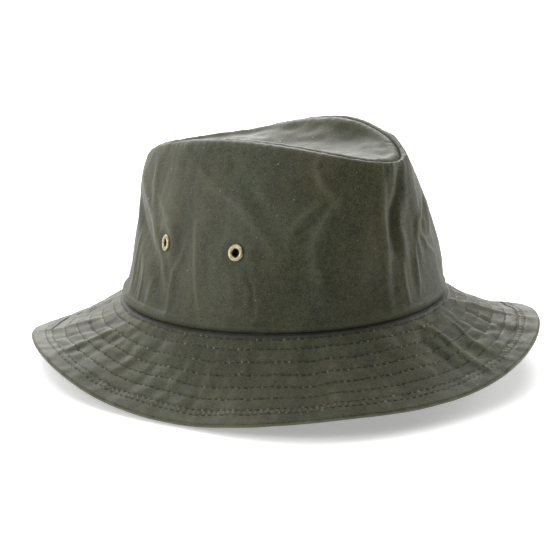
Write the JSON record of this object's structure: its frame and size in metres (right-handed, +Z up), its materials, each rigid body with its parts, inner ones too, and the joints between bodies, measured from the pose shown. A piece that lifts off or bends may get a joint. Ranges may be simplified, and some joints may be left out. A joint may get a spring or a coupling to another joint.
{
  "type": "bucket hat",
  "caption": "Soft outdoor hat of waxed cotton with a dented oval crown, a down-turned brim quilted in rings and bound at its edge, and vent eyelets in its sides.",
  "frame": {"origin": "bottom centre of the whole hat's box, on the surface that the brim's edge rests on", "axes": "+Z up, -Y towards the wearer's front, +X towards the wearer's left; the crown's lower edge is pitched nose up by 3.9 degrees about X, as the hat stands on its brim"},
  "size_m": [0.2688, 0.3084, 0.1449],
  "materials": {
    "waxed_cotton": "oiled olive cotton canvas, matt with a soft grazing sheen",
    "thread": "spun polyester thread, slightly glossy, olive",
    "lining_cotton": "light plain cotton, matt, dark olive drab",
    "sweatband_cotton": "soft ribbed cotton twill, matt",
    "stiffener": "undyed stiff non-woven",
    "antique_brass": "antiqued, satin, darker in the recesses"
  },
  "bodies": {
    "root": {"back_seam_thread": "thread", "bobbin_thread_row_1": "thread", "bobbin_thread_row_2": "thread", "bobbin_thread_row_3": "thread", "bobbin_thread_row_4": "thread", "bobbin_thread_row_5": "thread", "bobbin_thread_row_6": "thread", "bobbin_thread_row_7": "thread", "bobbin_thread_row_8": "thread", "brim_binding": "waxed_cotton", "brim_interlining": "stiffener", "brim_lower": "waxed_cotton", "brim_upper": "waxed_cotton", "crown_base_thread": "thread", "crown_side": "waxed_cotton", "crown_tip": "waxed_cotton", "eyelet_left_front": "antique_brass", "eyelet_left_rear": "antique_brass", "eyelet_right_front": "antique_brass", "eyelet_right_rear": "antique_brass", "eyelet_washer_left_front": "antique_brass", "eyelet_washer_left_rear": "antique_brass", "eyelet_washer_right_front": "antique_brass", "eyelet_washer_right_rear": "antique_brass", "lining_side": "lining_cotton", "lining_tip": "lining_cotton", "needle_thread_row_1": "thread", "needle_thread_row_2": "thread", "needle_thread_row_3": "thread", "needle_thread_row_4": "thread", "needle_thread_row_5": "thread", "needle_thread_row_6": "thread", "needle_thread_row_7": "thread", "needle_thread_row_8": "thread", "sweatband": "sweatband_cotton", "sweatband_thread": "thread", "tip_seam_thread": "thread"}
  },
  "joints": []
}
